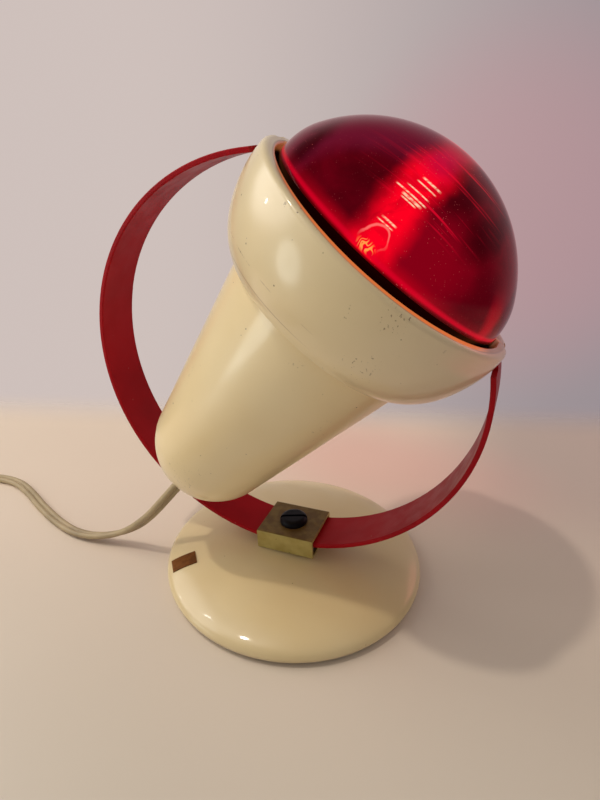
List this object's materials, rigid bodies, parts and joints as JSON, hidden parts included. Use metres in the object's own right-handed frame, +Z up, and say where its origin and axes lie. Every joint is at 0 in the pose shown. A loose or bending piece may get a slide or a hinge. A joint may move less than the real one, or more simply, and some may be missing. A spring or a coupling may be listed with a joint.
{
  "type": "infrared heat therapy lamp",
  "caption": "Infrared heat lamp: a red-fronted reflector bulb in a tapered head, pivoted in a round strip bow that slides through a brass clip on a round weighted foot.",
  "frame": {"origin": "centre of the foot's underside, on the table", "axes": "+Z up; the bow's plane is XZ, its opening leans to +X; +Y points away from the front where the cord lies"},
  "size_m": [0.2883, 0.2185, 0.1963],
  "materials": {
    "badge_bronze": "blank badge, brown patina",
    "black_glass": "black insulating glass",
    "bow_red": "deep red gloss paint",
    "cap_metal": "drawn screw cap",
    "clear_glass": "clear",
    "clip_brass": "aged olive-brown brass",
    "collar_cream": "glossy cream moulding with fine scratches and specks",
    "contact_brass": "bright",
    "cord_beige": "beige-grey flexible sheath",
    "core_blue_brown": "thin insulation",
    "foot_enamel": "glossy cream enamel, lightly worn",
    "grommet": "dark flexible",
    "housing_cream": "glossy cream moulding with fine scratches",
    "iron": "rough cast weight",
    "mirror_glass": "silvered inside",
    "pad_rubber": "matt black",
    "pin_brass": "bright plated",
    "plug_beige": "moulded beige plug",
    "porcelain": "glazed white porcelain",
    "red_glass": "clear red-coated glass",
    "screw_black": "blackened steel",
    "slide_plastic": "hard low-friction plastic",
    "steel": "plain zinc-plated steel",
    "tungsten": "coiled wire"
  },
  "bodies": {
    "root": {"clip_bolt": "steel", "clip_bolt_nut": "steel", "clip_bolt_washer": "steel", "clip_channel": "clip_brass", "clip_pad": "slide_plastic", "clip_seat_washer": "clip_brass", "clip_shoe": "slide_plastic", "foot_badge": "badge_bronze", "foot_ballast": "iron", "foot_pad": "pad_rubber", "foot_plate": "steel", "foot_plate_screws": "steel", "foot_shell": "foot_enamel", "mains_cord": "cord_beige", "mains_cord_coil": "cord_beige", "plug_lead": "cord_beige", "plug_body": "plug_beige", "plug_pins": "pin_brass"},
    "clip_screw_body": {"clip_screw": "screw_black"},
    "bow": {"bow_strip": "bow_red"},
    "head": {"bracket_screws": "steel", "bulb_cap": "cap_metal", "bulb_cap_insulator": "black_glass", "bulb_contact": "contact_brass", "bulb_filament": "tungsten", "bulb_filament_leads": "tungsten", "bulb_front_glass": "red_glass", "bulb_mirror_glass": "mirror_glass", "bulb_stem": "clear_glass", "cord_cores": "core_blue_brown", "cord_grip_bar": "slide_plastic", "cord_grip_screws": "steel", "cord_grommet": "grommet", "cord_inner_length": "cord_beige", "front_collar": "collar_cream", "holder_body": "porcelain", "holder_bracket": "steel", "holder_contact": "contact_brass", "holder_screws": "steel", "holder_shell": "contact_brass", "housing_clamp_ring": "steel", "housing_screws": "steel", "pivot_inserts": "contact_brass", "pivot_screws": "steel", "pivot_washers": "steel", "rear_housing": "housing_cream", "terminal_screws": "contact_brass"}
  },
  "joints": [
    {"name": "bow_slide", "type": "hinge", "parent": "root", "child": "bow", "pos_m": [-0.00628, 0, 0.10279], "axis": [0, 1, 0], "range_deg": [-120, 70]},
    {"name": "head_tilt", "type": "hinge", "parent": "bow", "child": "head", "pos_m": [0.03182, 0, 0.15447], "axis": [0.8049, 0, -0.5934], "range_deg": [-82, 98]},
    {"name": "clip_screw_turn", "type": "hinge", "parent": "root", "child": "clip_screw_body", "pos_m": [-0.00143, 0, 0.03515], "axis": [-0.0715, 0, 0.9974], "range_deg": [-30, 180]}
  ]
}
